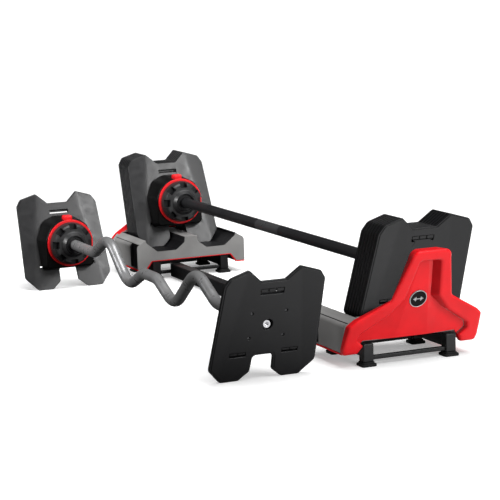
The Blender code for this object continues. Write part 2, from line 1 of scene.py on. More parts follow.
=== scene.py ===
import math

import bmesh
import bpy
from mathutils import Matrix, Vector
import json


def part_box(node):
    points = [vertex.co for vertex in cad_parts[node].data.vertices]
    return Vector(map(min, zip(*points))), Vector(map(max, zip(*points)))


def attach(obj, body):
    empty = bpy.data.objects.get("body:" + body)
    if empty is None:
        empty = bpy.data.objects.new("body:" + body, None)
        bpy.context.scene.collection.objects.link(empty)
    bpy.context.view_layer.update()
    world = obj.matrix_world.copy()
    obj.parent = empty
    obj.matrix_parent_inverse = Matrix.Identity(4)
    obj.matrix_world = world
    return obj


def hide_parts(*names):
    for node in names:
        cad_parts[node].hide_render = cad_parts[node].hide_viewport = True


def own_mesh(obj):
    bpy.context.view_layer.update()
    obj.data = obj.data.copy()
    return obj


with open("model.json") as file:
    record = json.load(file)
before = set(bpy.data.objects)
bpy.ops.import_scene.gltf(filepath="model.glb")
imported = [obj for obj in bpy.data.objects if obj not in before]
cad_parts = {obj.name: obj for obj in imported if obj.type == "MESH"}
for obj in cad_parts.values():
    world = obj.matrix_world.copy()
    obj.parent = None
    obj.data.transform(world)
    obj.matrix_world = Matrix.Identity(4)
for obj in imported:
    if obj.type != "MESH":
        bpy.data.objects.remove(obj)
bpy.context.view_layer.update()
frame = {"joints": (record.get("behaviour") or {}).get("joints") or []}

# The looks of an adjustable barbell set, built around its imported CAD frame.
#
# Metres, +Z up, in the frame's own axes. A bar end is modelled once in its own frame
# (x grows outwards from the fixed plate's inner face, z is 0 at the bar's axis) and
# placed four times. A cradle is modelled once, with z above the floor, and placed twice.

# ------------------------------------------------- sizes that repeat part.py's
GAP = 0.0003                # between pieces that would touch
BAR_R = 0.0140
BAR_BORE_R = 0.0108
BAR_END_X = -0.0070         # in an end's frame
BAR_BORE_DEPTH = 0.098
PLATE_H = 0.260
PLATE_PITCH = 0.0123
PLATE_T = 0.0117
PLATE_LEAN = 0.40           # x gained per z
WING_BEND = 0.19            # x gained per |y| outside the crease
CREASE_TOP_Y = 0.230 * PLATE_H
CREASE_SLOPE = -0.165
HUB_HOLE_R = 0.0124
TOP_SLOT = (0.0, 0.0770, 0.0273, 0.0068)      # middle y, middle z, half width, half height
LOW_SLOTS = [(side * 0.237 * PLATE_H, -0.255 * PLATE_H, 0.0190, 0.0050) for side in (-1, 1)]
SCREW_SPOTS = [(y, z) for y in (-0.0403, 0.0403) for z in (-0.0286, 0.0286)]
LOOSE_PLATES = 6
HOUSING_FRONT_X = -0.0580
BUTTON_X = -0.0410
DIAL_FRONT_X = -0.1085
DIAL_RIM_X = -0.0915
DIAL_BACK_X = -0.0653
DIAL_NOTCHES = 8
CURL_BENDS = [(0.048, 0.000), (0.162, -0.050), (0.310, 0.058), (0.428, 0.000)]
CURL_BEND_R = 0.080
STRAIGHT_Z = 0.2110
DECK_Z = 0.0815
TUB_INNER_X = -0.1380
TUB_HALF_W = 0.1660
TUB_FOOT_Z = 0.0335
TUB_BELLY_Z = 0.0560
TUB_FOOT_Y = 0.1400
WALL_T = 0.0080
PANEL_T = 0.0035
PLATEAU_H = 0.0090
PLATEAU_SLOPE = 0.17        # y lost per z
BADGE_Z = 0.1500
BADGE_R = 0.0213
LEG_Y = 0.1050
LEG_XS = (-0.1180, 0.0380)

PIVOTS = {j["child"]: Vector(j["pos_m"]) for j in frame["joints"] if j["type"] == "hinge"}
STRAIGHT_Y = PIVOTS["right_dial"].y
HALF_SPAN = PIVOTS["right_dial"].x
SIDES = {"left": -1, "right": 1}


# ------------------------------------------------------------- mesh helpers
WELD = 2e-6                 # points closer than this become one


def linked(name, data):
    obj = bpy.data.objects.new(name, data)
    bpy.context.scene.collection.objects.link(obj)
    return obj


def evaluated(obj):
    """The object's final mesh; the object itself is removed."""
    mesh = bpy.data.meshes.new_from_object(obj.evaluated_get(bpy.context.evaluated_depsgraph_get()))
    bpy.data.objects.remove(obj)
    return mesh


def mesh_from(bm, name):
    """A mesh with outward normals, made from a bmesh that is then freed."""
    bmesh.ops.recalc_face_normals(bm, faces=bm.faces)
    mesh = bpy.data.meshes.new(name)
    bm.to_mesh(mesh)
    bm.free()
    return mesh


def shaded(mesh, bevel=0.0, segments=2, bevel_angle=35, smooth_angle=35):
    """The mesh with rounded edges and clean smooth shading."""
    if bevel:
        obj = linked("work", mesh)
        rounding = obj.modifiers.new("rounding", "BEVEL")
        rounding.width = bevel
        rounding.segments = segments
        rounding.limit_method = "ANGLE"
        rounding.angle_limit = math.radians(bevel_angle)
        rounding.miter_outer = "MITER_ARC"
        mesh = evaluated(obj)
    mesh.shade_smooth()
    mesh.set_sharp_from_angle(angle=math.radians(smooth_angle))
    obj = linked("work", mesh)
    weights = obj.modifiers.new("weights", "WEIGHTED_NORMAL")
    weights.keep_sharp = True
    weights.weight = 80
    return evaluated(obj)


def box(low, high):
    bm = bmesh.new()
    size = Vector(high) - Vector(low)
    middle = (Vector(high) + Vector(low)) / 2
    bmesh.ops.create_cube(bm, size=1, matrix=Matrix.Translation(middle) @ Matrix.Diagonal((*size, 1)))
    return mesh_from(bm, "box")


def rod(radius, start, end, segments):
    """A cylinder between two points."""
    start, end = Vector(start), Vector(end)
    along = end - start
    bm = bmesh.new()
    turn = Matrix.Translation((start + end) / 2) @ along.to_track_quat("Z", "Y").to_matrix().to_4x4()
    bmesh.ops.create_cone(bm, cap_ends=True, segments=segments, radius1=radius, radius2=radius,
                          depth=along.length, matrix=turn)
    return mesh_from(bm, "rod")


STRAIGHT_CORNER = 0.02      # a corner whose half angle is this near a right angle stays as it is


def fillet(points, radii, steps=6):
    """A closed outline whose corners are rounded by arcs of these radii."""
    out = []
    count = len(points)
    for i, (corner, radius) in enumerate(zip(points, radii)):
        here = Vector(corner)
        before = (Vector(points[i - 1]) - here).normalized()
        after = (Vector(points[(i + 1) % count]) - here).normalized()
        half = before.angle(after) / 2
        if radius <= 0 or half > math.pi / 2 - STRAIGHT_CORNER:
            out.append(tuple(here))
            continue
        centre = here + (before + after).normalized() * (radius / math.sin(half))
        start = here + before * (radius / math.tan(half)) - centre
        end = here + after * (radius / math.tan(half)) - centre
        sweep = start.angle_signed(end)
        for step in range(steps + 1):
            spoke = start.copy()
            spoke.rotate(Matrix.Rotation(-sweep * step / steps, 2))
            out.append(tuple(centre + spoke))
    return out


def mirrored(half, radii, steps=6):
    """A rounded outline from its +y half, listed from the top down."""
    left = [(-y, z) for y, z in reversed(half)]
    return fillet(half + left, radii + radii[::-1], steps)


def inset(points, distance):
    """The outline moved inwards by a distance, along its own normals."""
    turning = sum(a[0] * b[1] - b[0] * a[1] for a, b in zip(points, points[1:] + points[:1]))
    out = []
    for i, point in enumerate(points):
        here = Vector(point)
        before = (here - Vector(points[i - 1])).normalized()
        after = (Vector(points[(i + 1) % len(points)]) - here).normalized()
        normal = before + after
        normal = Vector((-normal.y, normal.x)).normalized() * (1 if turning > 0 else -1)
        out.append(tuple(here + normal * distance / max(0.5, math.sqrt((1 + before.dot(after)) / 2))))
    return out


def circle(radius, y, z, segments):
    return [(y + radius * math.cos(2 * math.pi * i / segments),
             z + radius * math.sin(2 * math.pi * i / segments)) for i in range(segments)]


def slab(outlines, x0, x1, round_r=0.0, round_steps=2):
    """A flat outline (y, z), with holes, between x0 and x1, with its edges rounded."""
    curve = bpy.data.curves.new("outline", "CURVE")
    curve.dimensions = "2D"
    curve.fill_mode = "BOTH"
    curve.extrude = (x1 - x0) / 2 - round_r
    curve.bevel_depth = round_r
    curve.bevel_resolution = round_steps
    curve.offset = -round_r
    for points in outlines:
        spline = curve.splines.new("POLY")
        spline.points.add(len(points) - 1)
        for point, (y, z) in zip(spline.points, points):
            point.co = (y, z, 0, 1)
        spline.use_cyclic_u = True
    solid = evaluated(linked("outline", curve))
    bm = bmesh.new()
    bm.from_mesh(solid)
    bmesh.ops.remove_doubles(bm, verts=bm.verts, dist=WELD)
    for vert in bm.verts:
        y, z, depth = vert.co
        vert.co = (depth + (x0 + x1) / 2, y, z)
    return mesh_from(bm, "slab")


def turned(profile, segments):
    """A solid turned about X from a closed (x, radius) profile."""
    bm = bmesh.new()
    rings = []
    for i in range(segments):
        angle = 2 * math.pi * i / segments
        rings.append([bm.verts.new((x, r * math.cos(angle), r * math.sin(angle))) for x, r in profile])
    for i in range(segments):
        ring, following = rings[i], rings[(i + 1) % segments]
        for j in range(len(profile)):
            k = (j + 1) % len(profile)
            bm.faces.new((ring[j], ring[k], following[k], following[j]))
    return mesh_from(bm, "turned")


def cut(mesh, cutters):
    """The mesh with the cutters taken out of it."""
    work = linked("work", mesh)
    tools = []
    for cutter in cutters:
        tool = linked("cutter", cutter)
        tool.hide_render = True
        tools.append(tool)
        modifier = work.modifiers.new("cut", "BOOLEAN")
        modifier.operation = "DIFFERENCE"
        modifier.solver = "EXACT"
        modifier.object = tool
    result = evaluated(work)
    for tool in tools:
        bpy.data.objects.remove(tool)
    bm = bmesh.new()
    bm.from_mesh(result)
    bmesh.ops.remove_doubles(bm, verts=bm.verts, dist=WELD)
    bmesh.ops.dissolve_degenerate(bm, edges=bm.edges, dist=WELD)
    return mesh_from(bm, "solid")


def merged(meshes):
    """Several closed shells as one mesh, each with its own materials."""
    bm = bmesh.new()
    looks = []
    for mesh in meshes:
        start = len(bm.faces)
        bm.from_mesh(mesh)
        bm.faces.ensure_lookup_table()
        for face in bm.faces[start:]:
            if mesh.materials:
                look = mesh.materials[face.material_index]
                if look not in looks:
                    looks.append(look)
                face.material_index = looks.index(look)
    made = bpy.data.meshes.new("merged")
    bm.to_mesh(made)
    bm.free()
    for look in looks:
        made.materials.append(look)
    return made


def creased(mesh, lines):
    """The mesh cut along planes that hold the X direction, each a (y, z) point and normal."""
    bm = bmesh.new()
    bm.from_mesh(mesh)
    for point, normal in lines:
        bmesh.ops.bisect_plane(bm, geom=bm.verts[:] + bm.edges[:] + bm.faces[:], dist=1e-7,
                               plane_co=(0, *point), plane_no=(0, *normal))
    return mesh_from(bm, "creased")


def moved(mesh, rule):
    """The mesh with each point put where the rule says."""
    for vert in mesh.vertices:
        vert.co = rule(vert.co)
    return mesh


# --------------------------------------------------------------- materials
NOISE_LOW, NOISE_HIGH = 0.3, 0.7    # most of a noise lies between these


class Look:
    """A procedural material: colour mottling, roughness variation and a fine moulded grain."""

    def __init__(self, name, colour, rough, metal=0.0):
        self.material = bpy.data.materials.new(name)
        self.material.use_nodes = True
        self.tree = self.material.node_tree
        self.shader = self.tree.nodes["Principled BSDF"]
        self.shader.inputs["Metallic"].default_value = metal
        self.coords = self.tree.nodes.new("ShaderNodeTexCoord").outputs["Object"]
        self.normal = None
        self.mottle(colour, rough)

    def noise(self, scale, detail=3.0, stretch=None):
        source = self.coords
        if stretch:
            mapping = self.tree.nodes.new("ShaderNodeMapping")
            mapping.inputs["Scale"].default_value = stretch
            self.tree.links.new(source, mapping.inputs["Vector"])
            source = mapping.outputs["Vector"]
        node = self.tree.nodes.new("ShaderNodeTexNoise")
        node.inputs["Scale"].default_value = scale
        node.inputs["Detail"].default_value = detail
        self.tree.links.new(source, node.inputs["Vector"])
        return node.outputs["Fac"]

    def spread(self, source, low, high):
        """The noise stretched to the range from low to high."""
        node = self.tree.nodes.new("ShaderNodeMapRange")
        node.inputs["From Min"].default_value = NOISE_LOW
        node.inputs["From Max"].default_value = NOISE_HIGH
        node.inputs["To Min"].default_value = low
        node.inputs["To Max"].default_value = high
        self.tree.links.new(source, node.inputs["Value"])
        return node.outputs["Result"]

    def mottle(self, colour, rough):
        """The base colour drifts a little, and so does the roughness."""
        ramp = self.tree.nodes.new("ShaderNodeValToRGB")
        ramp.color_ramp.elements[0].position = NOISE_LOW
        ramp.color_ramp.elements[0].color = (*[c * 0.88 for c in colour], 1)
        ramp.color_ramp.elements[1].position = NOISE_HIGH
        ramp.color_ramp.elements[1].color = (*[min(1.0, c * 1.10) for c in colour], 1)
        self.tree.links.new(self.noise(14.0), ramp.inputs["Fac"])
        self.tree.links.new(ramp.outputs["Color"], self.shader.inputs["Base Color"])
        rough_range = self.spread(self.noise(55.0, 5.0), rough - 0.05, rough + 0.06)
        self.tree.links.new(rough_range, self.shader.inputs["Roughness"])

    def grain(self, scale, distance, strength, stretch=None):
        """Adds a layer of bumps, at this scale and this height in metres."""
        bump = self.tree.nodes.new("ShaderNodeBump")
        bump.inputs["Strength"].default_value = strength
        bump.inputs["Distance"].default_value = distance
        self.tree.links.new(self.noise(scale, 2.0, stretch), bump.inputs["Height"])
        if self.normal:
            self.tree.links.new(self.normal, bump.inputs["Normal"])
        self.normal = bump.outputs["Normal"]
        self.tree.links.new(self.normal, self.shader.inputs["Normal"])
        return self

    def gloss(self, specular):
        self.shader.inputs["Specular IOR Level"].default_value = specular
        return self


def material(name, colour, rough, metal, grain, specular=0.5):
    return Look(name, colour, rough, metal).grain(*grain).gloss(specular).material


TURNED = (1, 0.15, 0.15)            # grain that runs round the X axis, as turning leaves it
PLATE_LOOK = material("plate_nylon", (0.009, 0.009, 0.010), 0.34, 0.0, (900, 0.00012, 0.30), 0.48)
BLACK_LOOK = material("black_nylon", (0.002, 0.002, 0.002), 0.42, 0.0, (1100, 0.0001, 0.3), 0.15)
KNOB_LOOK = material("knob_nylon", (0.022, 0.022, 0.023), 0.40, 0.0, (1100, 0.0001, 0.3))
# Near-black: the colour of the tub's wells, and painted shade in the slot backings, the knob's notches
# and mouth, and the tubs' side bands.
WELLS_AND_SHADE_LOOK = material("black_wells_and_painted_shade", (0.004, 0.004, 0.005), 0.45, 0.0, (900, 0.0001, 0.3), 0.4)
RED_LOOK = material("red_moulding", (0.92, 0.008, 0.014), 0.42, 0.0, (1000, 0.0001, 0.25), 0.3)
GREY_LOOK = material("grey_moulding", (0.30, 0.295, 0.29), 0.45, 0.0, (1000, 0.0001, 0.3))
BAR_LOOK = material("black_oxide_steel", (0.022, 0.022, 0.024), 0.38, 0.3, (1500, 0.00006, 0.3))
SMOOTH_LOOK = material("smooth_oxide_steel", (0.11, 0.11, 0.115), 0.30, 0.6, (1500, 0.00004, 0.3))
CURL_LOOK = material("satin_oxide_steel", (0.42, 0.42, 0.425), 0.30, 0.6, (1500, 0.00006, 0.3))
STEEL_LOOK = material("turned_steel", (0.72, 0.72, 0.74), 0.22, 1.0, (900, 0.00005, 0.3, TURNED))
FRAME_LOOK = material("powder_coat", (0.008, 0.008, 0.009), 0.36, 0.0, (700, 0.00015, 0.5))
RUBBER_LOOK = material("foot_rubber", (0.010, 0.010, 0.010), 0.70, 0.0, (600, 0.0002, 0.6), 0.3)
SILVER_LOOK = material("badge_silver", (0.62, 0.62, 0.63), 0.32, 0.6, (900, 0.00005, 0.2))
SCREW_LOOK = material("screw_steel", (0.10, 0.10, 0.105), 0.30, 0.8, (900, 0.00005, 0.3))


# ------------------------------------------------------------------- pieces
def piece(name, mesh, matrix, look, body, stands_for=()):
    """A finished piece that rides on a body and stands for these CAD nodes."""
    if look and not mesh.materials:
        mesh.materials.append(look)
    obj = linked(name, mesh)
    obj.matrix_world = matrix
    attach(obj, body)
    if stands_for:
        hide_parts(*stands_for)
    return obj


def end_matrix(point, side):
    return Matrix.Translation(point) @ Matrix.Rotation(math.pi if side < 0 else 0, 4, "Z")


# ------------------------------------------------------------ weight plates
BEND_SOFTNESS = 0.005
CREASE_CUTS = (-0.016, -0.008, -0.004, -0.0015, 0.0015, 0.004, 0.008, 0.016)    # y from the crease


def crease_y(z):
    return CREASE_TOP_Y + CREASE_SLOPE * (z - 0.5 * PLATE_H)


def plate_outline():
    """Half the plate's outline as y, z and corner radius, in parts of its height, and mirrored."""
    half = [(0.111, 0.395, 0.02), (0.230, 0.500, 0.02), (0.404, 0.447, 0.05), (0.451, 0.375, 0.05),
            (0.483, -0.370, 0.06), (0.360, -0.497, 0.03), (0.197, -0.497, 0.03), (0.104, -0.420, 0.03),
            (0.095, -0.275, 0.035)]
    return mirrored([(y * PLATE_H, z * PLATE_H) for y, z, r in half], [r * PLATE_H for y, z, r in half])


def slot_outline(slot):
    y, z, half_w, half_h = slot
    corners = [(y - half_w, z - half_h), (y + half_w, z - half_h),
               (y + half_w, z + half_h), (y - half_w, z + half_h)]
    return fillet(corners, [0.0012] * 4, 2)


def comb(slot, teeth, crest):
    """A ramp that rises inwards to the crest, a row of teeth that hang at the outer face, and a
    near-black backing behind them that is painted shade in the gaps between the teeth.
    """
    y, z, half_w, half_h = slot
    overlap = 0.0004
    bottom, top = z - half_h - overlap, z + half_h + overlap
    low, high = y - half_w - overlap, y + half_w + overlap
    profile = [(0.0006, bottom), (PLATE_T - 0.0012, bottom), (PLATE_T - 0.0012, bottom + 0.0008),
               (0.0014, bottom + crest), (0.0006, bottom + crest)]
    bm = bmesh.new()
    ends = [[bm.verts.new((px, py, pz)) for px, pz in profile] for py in (low, high)]
    for i in range(len(profile)):
        j = (i + 1) % len(profile)
        bm.faces.new((ends[0][i], ends[0][j], ends[1][j], ends[1][i]))
    bm.faces.new(ends[0])
    bm.faces.new(ends[1])
    made = [shaded(mesh_from(bm, "ramp"), 0.0002, 2)]
    hang = bottom + crest + 0.0022
    # Painted shade: a near-black sheet behind the teeth, where only shade would be, darkens the gaps
    # between them.
    shade_backing = shaded(box((0.0076, low, hang), (0.0088, high, top)), 0.0003, 2)
    shade_backing.materials.append(WELLS_AND_SHADE_LOOK)
    made.append(shade_backing)
    pitch = 2 * half_w / teeth
    half_gap = 0.0014
    for i in range(teeth):
        middle = y - half_w + pitch * (i + 0.5)
        tooth = box((0.0086, middle - pitch / 2 + half_gap, hang - 0.0003),
                    (PLATE_T - 0.0004, middle + pitch / 2 - half_gap, top - 0.0012))
        made.append(shaded(tooth, 0.0004, 2))
    return made


def dovetail(slot):
    """The tab in a loose plate's slot that keys it to its neighbour."""
    y, z, half_w, half_h = slot
    waist, foot = z - half_h + 0.0004, z - half_h - 0.0110
    wide, narrow = half_w * 0.90, half_w * 0.62
    outline = [(y - wide, foot), (y + wide, foot), (y + narrow, waist),
               (y + wide, waist + 0.0042), (y - wide, waist + 0.0042), (y - narrow, waist)]
    return shaded(slab([outline], PLATE_T - 0.0030, PLATE_T + 0.0006), 0.0004, 2)


def bend(point):
    """Leans a flat plate outwards and bends its wings, with a soft turn at the crease."""
    x, y, z = point
    outside = abs(y) - crease_y(z)
    soft = (outside + math.sqrt(outside * outside + BEND_SOFTNESS ** 2)) / 2
    return Vector((x + PLATE_LEAN * z + WING_BEND * soft, y, z))


def plate_mesh(fixed):
    """A body and a slightly smaller raised face, bent together, with what stands in the slots."""
    holes = [circle(HUB_HOLE_R, 0.0, 0.0, 48), slot_outline(TOP_SLOT)]
    holes += [slot_outline(slot) for slot in LOW_SLOTS]
    if fixed:
        holes += [circle(0.0034, y, z, 20) for y, z in SCREW_SPOTS]
    body = slab([plate_outline(), *holes], 0.0, PLATE_T - 0.0018, 0.0011, 2)
    face = slab([inset(plate_outline(), 0.0038), *holes], PLATE_T - 0.0042, PLATE_T, 0.0015, 3)
    lines = []
    for side in (-1, 1):
        for offset in CREASE_CUTS:
            lines.append(((side * (crease_y(0) + offset), 0), (side, -CREASE_SLOPE)))
    plate = [shaded(moved(creased(layer, lines), bend), smooth_angle=32) for layer in (body, face)]
    extras = comb(TOP_SLOT, 3, 0.0046) + comb(LOW_SLOTS[0], 2, 0.0034) + comb(LOW_SLOTS[1], 2, 0.0034)
    if not fixed:
        extras.append(dovetail(TOP_SLOT))
    layers = [*plate, *[moved(extra, bend) for extra in extras]]
    for layer in layers:
        if not layer.materials:
            layer.materials.append(PLATE_LOOK)
    return merged(layers)


def screw_mesh():
    """A cap screw in the fixed plate, with a round recess in its head."""
    head = turned([(0.0008, 0.0002), (0.0008, 0.0019), (0.0016, 0.0021), (0.0030, 0.0030),
                   (0.0010, 0.0032), (-0.0050, 0.0032), (-0.0050, 0.0002)], 24)
    return shaded(head, smooth_angle=40)


# ----------------------------------------------------------- bar-end pieces
def housing_mesh():
    """The gearbox housing: narrower in front, with its back on the leaning plate."""
    half = [(0.022, 0.0690), (0.056, 0.055), (0.077, 0.012), (0.077, -0.0740)]
    outline = mirrored(half, [0.030, 0.030, 0.030, 0.012])
    body = slab([outline], HOUSING_FRONT_X, 0.0, 0.0045, 4)

    def wedge(point):
        x, y, z = point
        if x > HOUSING_FRONT_X / 2:
            return Vector((x + PLATE_LEAN * z - GAP, y, z))
        return Vector((x, y * 0.90, z * 0.94))

    moved(body, wedge)
    cuts = [
        rod(0.0242, (HOUSING_FRONT_X - 0.01, 0, 0), (-0.0178, 0, 0), 64),
        rod(BAR_R + GAP, (-0.03, 0, 0), (0.05, 0, 0), 48),
        box((-0.0523, -0.0133, 0.0540), (-0.0297, 0.0133, 0.10)),
        rod(0.0062, (BUTTON_X, 0, 0.0400), (BUTTON_X, 0, 0.0600), 24),
    ]
    return shaded(cut(body, cuts), 0.0007, 2, 50)


def button_mesh():
    return shaded(box((-0.0520, -0.0130, 0.0600), (-0.0300, 0.0130, 0.0765)), 0.0050, 5)


def spring_mesh():
    """Wire wound between the pocket's floor and the button."""
    turns, per_turn = 4, 24
    coil_r, wire_r = 0.0050, 0.0006
    low, high = 0.0409, 0.0591
    curve = bpy.data.curves.new("coil", "CURVE")
    curve.dimensions = "3D"
    curve.bevel_depth = wire_r
    curve.bevel_resolution = 2
    curve.use_fill_caps = True
    spline = curve.splines.new("POLY")
    spline.points.add(turns * per_turn)
    for i, point in enumerate(spline.points):
        angle = 2 * math.pi * i / per_turn
        point.co = (BUTTON_X + coil_r * math.cos(angle), coil_r * math.sin(angle),
                    low + (high - low) * i / (turns * per_turn), 1)
    return shaded(evaluated(linked("coil", curve)), smooth_angle=60)


def dial_mesh():
    """The knob: eight notches in a stepped cone; its notches and mouth are painted black as painted
    shade.
    """
    front, rim, back, cavity = DIAL_FRONT_X, DIAL_RIM_X, DIAL_BACK_X, -0.0970
    corners = [(front + 0.0055, 0.0150), (front + 0.0055, 0.0225), (front, 0.0245), (front, 0.0275),
               (front + 0.0130, 0.0350), (rim - 0.0040, 0.0510), (rim, 0.0555), (back, 0.0600),
               (back, 0.0238), (-0.0182, 0.0238), (-0.0182, 0.0178), (cavity, 0.0178), (cavity, 0.0150)]
    radii = [0.0, 0.0010, 0.0008, 0.0014, 0.0030, 0.0012, 0.0018, 0.0012, 0.0, 0.0006, 0.0, 0.0, 0.0]
    knob = turned(fillet(corners, radii, 3), 96)
    notches = []
    for i in range(DIAL_NOTCHES):
        notch = box((front, -0.0105, 0.0425), (rim + 0.0125, 0.0105, 0.072))
        spin = Matrix.Rotation(2 * math.pi * i / DIAL_NOTCHES, 4, "X")
        notches.append(moved(notch, lambda point, spin=spin: spin @ point))
    knob = shaded(cut(knob, notches), 0.0007, 2, 45)
    knob.materials.append(KNOB_LOOK)
    knob.materials.append(WELLS_AND_SHADE_LOOK)
    # Painted shade: the notches' walls, floors and ends, and the mouth with the hub's front rim, take the
    # near-black material.
    for face in knob.polygons:
        x, y, z = face.center
        radius = math.hypot(y, z)
        outwards = face.normal.dot(Vector((0, y, z)) / radius)
        notch_shade_zone = 0.0420 < radius < 0.0590 and front < x < rim + 0.0127 and outwards > -0.5
        side_wall = abs(outwards) < 0.5 and abs(face.normal.x) < 0.3
        bottom = outwards > 0.9 and radius < 0.0445
        end_wall = face.normal.x < -0.9 and x > rim + 0.0110
        shaded_mouth = radius < 0.0295 and x < front + 0.012
        if notch_shade_zone and (side_wall or bottom or end_wall) or shaded_mouth:
            face.material_index = 1
    return knob


def ring_mesh():
    bore = 0.0241
    corners = [(-0.0650, bore), (-0.0650, 0.0660), (-0.0590, 0.0660), (-0.0590, bore)]
    return shaded(turned(fillet(corners, [0.0, 0.0016, 0.0012, 0.0], 4), 128), smooth_angle=40)


def shaft_mesh():
    """The selector shaft: a chamfered tip with a hexagon socket, fine grooves and a cross pin."""
    tip, tail, radius = 0.0060, -0.0974, 0.0105
    corners = [(tip, 0.0004), (tip, radius - 0.0022), (tip - 0.0022, radius)]
    for i in range(LOOSE_PLATES + 1):
        groove = tip - 0.0060 - PLATE_PITCH * i
        corners += [(groove, radius), (groove - 0.0006, radius - 0.0005), (groove - 0.0012, radius)]
    corners += [(tail, radius), (tail, 0.0004)]
    shaft = turned(corners, 48)
    socket = rod(0.0052, (tip + 0.001, 0, 0), (tip - 0.008, 0, 0), 6)
    shaft = shaded(cut(shaft, [socket]), smooth_angle=40)
    pin_x, pin_reach = -0.0944, 0.0168
    pin = shaded(rod(0.0020, (pin_x, 0, -pin_reach), (pin_x, 0, pin_reach), 20), 0.0003, 2)
    return merged([shaft, pin])


# ----------------------------------------------------------------- the bars
def swept_bar(path, segments, zones, grooves=()):
    """A bar of round section along (x, z) points, bored at both ends and knurled in its zones.

    Zones and grooves are measured along the bar from its middle, in metres.
    """
    points = [Vector(p) for p in path]
    lengths = [0.0]
    for a, b in zip(points, points[1:]):
        lengths.append(lengths[-1] + (b - a).length)
    total = lengths[-1]

    def at(distance):
        """The point at this distance along the path, and the path's smoothed direction there."""
        i = max(k for k in range(len(lengths) - 1) if lengths[k] <= distance or k == 0)
        part = (distance - lengths[i]) / (lengths[i + 1] - lengths[i])
        part = min(max(part, 0.0), 1.0)
        here = points[i].lerp(points[i + 1], part)
        earlier, later = max(i, 1), min(i + 2, len(points) - 1)
        before = points[earlier] - points[earlier - 1]
        after = points[later] - points[later - 1]
        middle = points[i + 1] - points[i]
        if part < 0.5:
            tangent = ((before + middle) / 2).lerp(middle, part * 2)
        else:
            tangent = middle.lerp((middle + after) / 2, part * 2 - 1)
        return here, tangent.normalized()

    step_fine, step_coarse, chamfer, end_margin = 0.0014, 0.0042, 0.0008, 0.005
    knurl, groove = 0.00016, 0.0004
    stations = [(0.0, BAR_R - chamfer), (chamfer, BAR_R)]
    distance = chamfer
    while distance < total - chamfer - end_margin:
        offset = distance - total / 2
        in_zone = any(a < offset < b for a, b in zones)
        distance += step_fine if in_zone else step_coarse
        offset = distance - total / 2
        raised = any(a < offset < b for a, b in zones)
        near_groove = any(abs(offset - g) < step_coarse / 2 for g in grooves)
        plain_r = BAR_R - groove if near_groove else BAR_R
        stations.append((distance, "knurl" if raised else plain_r))
    stations += [(total - chamfer, BAR_R), (total, BAR_R - chamfer)]

    bm = bmesh.new()
    rings = []

    def ring(distance, radius_at):
        """A ring of points square to the path, with a radius for each point's number."""
        here, tangent = at(distance)
        normal = Vector((-tangent.y, tangent.x))
        made = []
        for i in range(segments):
            angle = 2 * math.pi * i / segments
            r = radius_at(i)
            across = normal * (r * math.cos(angle))
            made.append(bm.verts.new((here.x + across.x, r * math.sin(angle), here.y + across.y)))
        rings.append(made)

    ring(BAR_BORE_DEPTH, lambda i: BAR_BORE_R)
    ring(0.0, lambda i: BAR_BORE_R)
    for number, (distance, kind) in enumerate(stations):
        if kind == "knurl":
            ring(distance, lambda i, n=number: BAR_R + (knurl if (i + n) % 2 else -knurl))
        else:
            ring(distance, lambda i, r=kind: r)
    ring(total, lambda i: BAR_BORE_R)
    ring(total - BAR_BORE_DEPTH, lambda i: BAR_BORE_R)
    for here, following in zip(rings, rings[1:]):
        for i in range(segments):
            j = (i + 1) % segments
            bm.faces.new((here[i], here[j], following[j], following[i]))
    bm.faces.new(rings[0])
    bm.faces.new(rings[-1])
    bar = mesh_from(bm, "bar")
    bar.shade_smooth()
    bar.set_sharp_from_angle(angle=math.radians(60))
    return bar


def curl_path():
    """The curl bar's centre line (x, z): straight runs joined by arcs."""
    reach = HALF_SPAN + BAR_END_X
    right = [*CURL_BENDS, (reach, 0.0)]
    corners = [(-x, z) for x, z in reversed(right)] + right
    path = [corners[0]]
    for i in range(1, len(corners) - 1):
        here = Vector(corners[i])
        before = (Vector(corners[i - 1]) - here).normalized()
        after = (Vector(corners[i + 1]) - here).normalized()
        half = before.angle(after) / 2
        centre = here + (before + after).normalized() * (CURL_BEND_R / math.sin(half))
        start = here + before * (CURL_BEND_R / math.tan(half)) - centre
        end = here + after * (CURL_BEND_R / math.tan(half)) - centre
        steps = max(4, round(start.angle(end) / math.radians(4)))
        for step in range(steps + 1):
            spoke = start.copy()
            spoke.rotate(Matrix.Rotation(-start.angle_signed(end) * step / steps, 2))
            path.append(tuple(centre + spoke))
    path.append(corners[-1])
    return path


# ------------------------------------------------------------------ cradles
def plate_face_x(z):
    """Just outside the outermost plate's face."""
    return LOOSE_PLATES * PLATE_PITCH + PLATE_T + PLATE_LEAN * (z - STRAIGHT_Z) + 0.0060


def wall_inner_x(z):
    """The inner face of the tub's outer wall."""
    return plate_face_x(z) + 0.0010


def wall_outer_x(z):
    return wall_inner_x(z) + WALL_T


def cover_back_x(z):
    return wall_outer_x(z) + GAP


def cover_front_x(z):
    return 0.1118 + 0.50 * (z - 0.156)


def recess_floor_x(z):
    return cover_back_x(z) + PANEL_T


def plateau_y(z):
    """Half the width of the recess's raised middle."""
    return 0.0280 + PLATEAU_SLOPE * (0.1350 - z)


def prism(outline, x_low, x_high):
    """An outline (y, z) drawn between two surfaces x(z), with one face at each end."""
    bm = bmesh.new()
    low = [bm.verts.new((x_low(z), y, z)) for y, z in outline]
    high = [bm.verts.new((x_high(z), y, z)) for y, z in outline]
    count = len(outline)
    for i in range(count):
        j = (i + 1) % count
        bm.faces.new((low[i], low[j], high[j], high[i]))
    bm.faces.new(low)
    bm.faces.new(high)
    return mesh_from(bm, "prism")


def trough_outline(side):
    """One of the two wells that the plates' feet stand in."""
    corners = [(0.0185, 0.2000), (0.0185, 0.1300), (0.0200, 0.1020), (0.0470, DECK_Z), (0.1040, DECK_Z),
               (0.1375, 0.1080), (0.1400, 0.1230), (0.1400, 0.2000)]
    radii = [0, 0.02, 0.010, 0.008, 0.008, 0.010, 0, 0]
    return fillet([(side * y, z) for y, z in corners], radii, 5)


